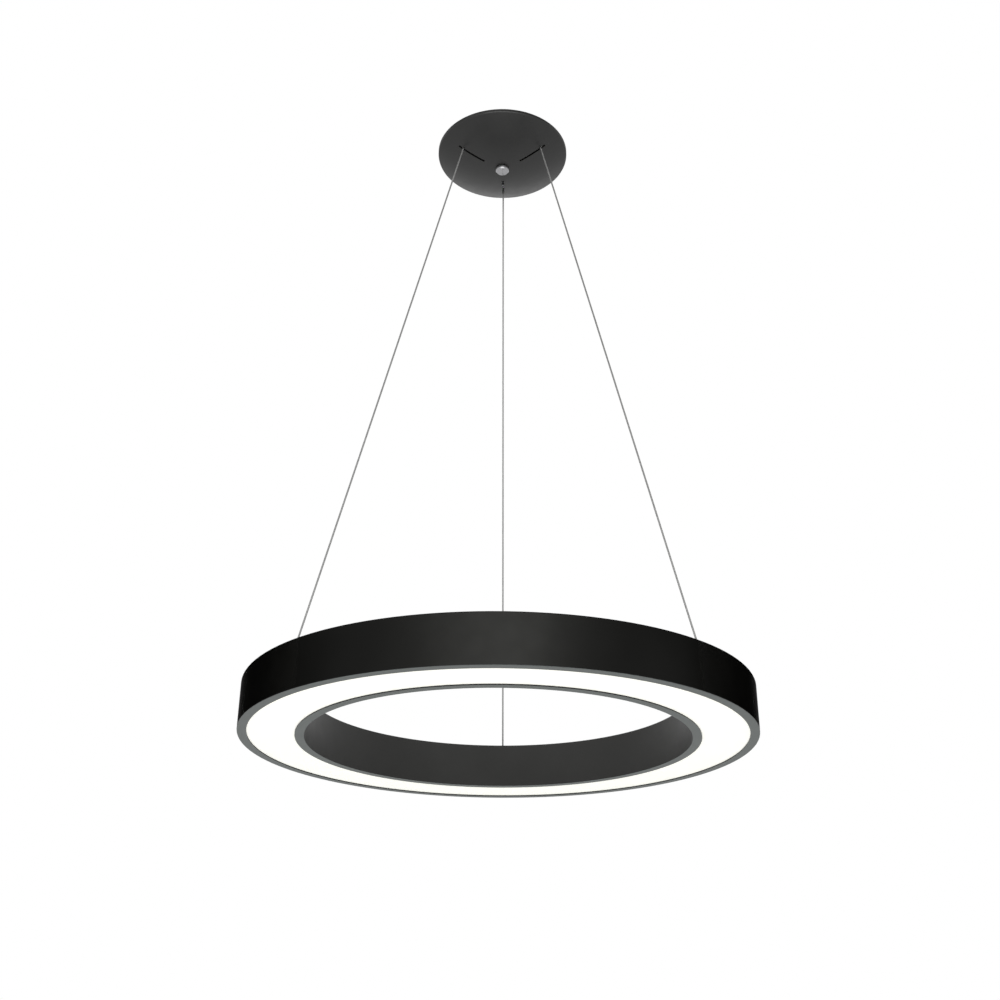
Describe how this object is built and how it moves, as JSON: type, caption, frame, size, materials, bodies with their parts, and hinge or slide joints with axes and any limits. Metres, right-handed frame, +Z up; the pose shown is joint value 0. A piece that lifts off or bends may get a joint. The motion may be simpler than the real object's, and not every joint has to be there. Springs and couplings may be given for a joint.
{
  "type": "ring pendant light",
  "caption": "Ring pendant light: a black ring with a lit underside, hung on slanting cables from a round domed ceiling canopy.",
  "frame": {"origin": "centre of the ceiling plane, on the upper face of the ceiling plate", "axes": "+Z up into the ceiling, so the lamp hangs towards -Z; +Y towards the first suspension cable, away from the viewer of the picture; +X to the viewer's right"},
  "size_m": [0.6, 0.6, 0.875],
  "materials": {
    "black_powder": "matt fine powder coat",
    "black_aluminium": "matt fine powder coat over aluminium",
    "satin_grey": "satin lacquer over aluminium",
    "opal_acrylic": "satin opal sheet, lit from behind",
    "chrome": "polished",
    "nickel": "nickel plated",
    "zinc_steel": "bright zinc plate",
    "spring_steel": "drawn wire",
    "cable_strand": "fine strand under a clear jacket",
    "white_nylon": "moulded",
    "tray_aluminium": "mill finish",
    "board_white": "white solder mask",
    "chip_phosphor": "yellow phosphor",
    "tinned_copper": "tinned",
    "driver_shell": "moulded, fine grain",
    "circuit_green": "solder mask",
    "block_plastic": "moulded polyamide",
    "black_rubber": "soft",
    "lead_brown": "wire insulation",
    "lead_green": "wire insulation",
    "lead_red": "wire insulation"
  },
  "bodies": {
    "canopy_base": {"anchor_bush_1": "white_nylon", "anchor_bush_2": "white_nylon", "anchor_bush_3": "white_nylon", "cable_bracket_1": "zinc_steel", "cable_bracket_2": "zinc_steel", "cable_bracket_3": "zinc_steel", "cable_ferrule_1": "nickel", "cable_ferrule_2": "nickel", "cable_ferrule_3": "nickel", "canopy_stud": "zinc_steel", "ceiling_plate": "zinc_steel", "driver_board": "circuit_green", "driver_case": "driver_shell", "driver_lid": "driver_shell", "earth_lead": "lead_green", "earth_screw": "zinc_steel", "entry_grommet": "black_rubber", "mains_leads": "lead_brown", "output_leads": "lead_red", "plate_screws": "zinc_steel", "suspension_cable_1": "cable_strand", "suspension_cable_2": "cable_strand", "suspension_cable_3": "cable_strand", "terminal_block": "block_plastic", "terminal_screws": "zinc_steel"},
    "canopy_shell": {"canopy_cover": "black_powder", "canopy_washer": "white_nylon"},
    "nut": {"canopy_nut": "chrome"},
    "ring": {"board_jumpers": "tinned_copper", "board_screws": "zinc_steel", "diffuser": "opal_acrylic", "diffuser_gaskets": "black_rubber", "gripper_body_1": "nickel", "gripper_body_2": "nickel", "gripper_body_3": "nickel", "gripper_bush_1": "white_nylon", "gripper_bush_2": "white_nylon", "gripper_bush_3": "white_nylon", "gripper_nuts": "nickel", "gripper_seats": "nickel", "gripper_spring_1": "spring_steel", "gripper_spring_2": "spring_steel", "gripper_spring_3": "spring_steel", "gripper_washers": "white_nylon", "inner_bezel": "satin_grey", "led_board_1": "board_white", "led_board_2": "board_white", "led_board_3": "board_white", "led_board_4": "board_white", "led_board_5": "board_white", "led_board_6": "board_white", "led_chips": "chip_phosphor", "led_tray": "tray_aluminium", "outer_bezel": "satin_grey", "ring_housing": "black_aluminium", "ring_leads": "lead_red", "tray_screws": "zinc_steel"},
    "plunger_1": {"gripper_plunger_1": "nickel"},
    "plunger_2": {"gripper_plunger_2": "nickel"},
    "plunger_3": {"gripper_plunger_3": "nickel"}
  },
  "joints": [
    {"name": "height_adjust", "type": "slide", "parent": "canopy_base", "child": "ring", "axis": [0, 0, 1], "range_m": [0, 0.3], "deforming": ["suspension_cable_1", "suspension_cable_2", "suspension_cable_3"]},
    {"name": "cover_drop", "type": "slide", "parent": "canopy_base", "child": "canopy_shell", "axis": [0, 0, -1], "range_m": [0, 0.01]},
    {"name": "nut_turn", "type": "hinge", "parent": "canopy_shell", "child": "nut", "pos_m": [0, 0, 0], "axis": [0, 0, -1], "range_deg": [0, 3600]},
    {"name": "plunger_press_1", "type": "slide", "parent": "ring", "child": "plunger_1", "axis": [0, 0, -1], "range_m": [0, 0.0015], "stiffness_N_per_m": 300, "springref_m": -0.003, "deforming": ["gripper_spring_1"]},
    {"name": "plunger_press_2", "type": "slide", "parent": "ring", "child": "plunger_2", "axis": [0, 0, -1], "range_m": [0, 0.0015], "stiffness_N_per_m": 300, "springref_m": -0.003, "deforming": ["gripper_spring_2"]},
    {"name": "plunger_press_3", "type": "slide", "parent": "ring", "child": "plunger_3", "axis": [0, 0, -1], "range_m": [0, 0.0015], "stiffness_N_per_m": 300, "springref_m": -0.003, "deforming": ["gripper_spring_3"]}
  ],
  "couplings": [
    {"joint": "nut_turn", "follows": "cover_drop", "rad_per_m": 6283.2}
  ]
}
